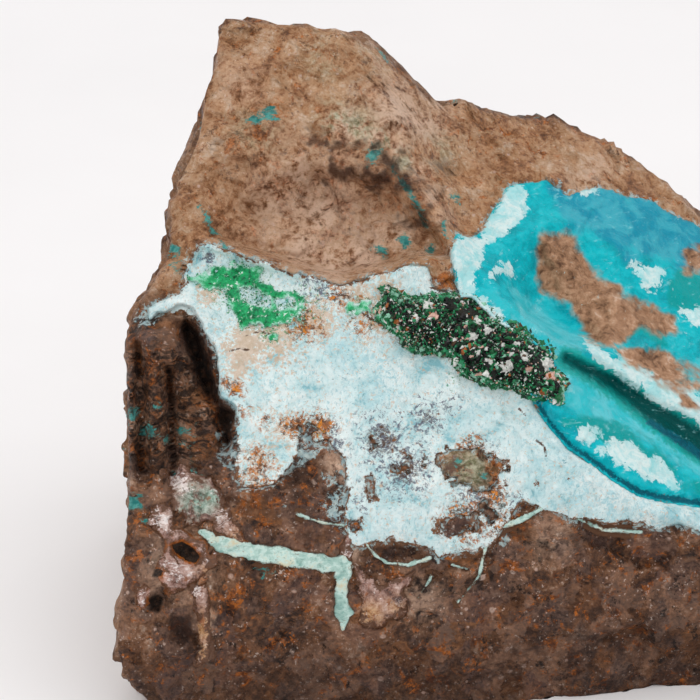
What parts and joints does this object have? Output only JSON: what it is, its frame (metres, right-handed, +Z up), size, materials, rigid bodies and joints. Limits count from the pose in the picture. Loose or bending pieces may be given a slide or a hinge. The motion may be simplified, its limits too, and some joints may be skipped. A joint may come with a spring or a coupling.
{
  "type": "chrysocolla specimen",
  "caption": "Broken block of chrysocolla in brown matrix, with a pale leaning crust, a gritty dark green ridge and banded turquoise layers; rests on its flat base.",
  "frame": {"origin": "middle of the footprint's bounding box, on the plane the flat base rests on", "axes": "+X along the length, towards the low tapering end; -Y is the side that the leaning show face looks to; +Z up"},
  "size_m": [0.0904, 0.0602, 0.0578],
  "materials": {
    "stone": "matte broken stone"
  },
  "bodies": {
    "root": {"chrysocolla_rock": "stone"}
  },
  "joints": []
}
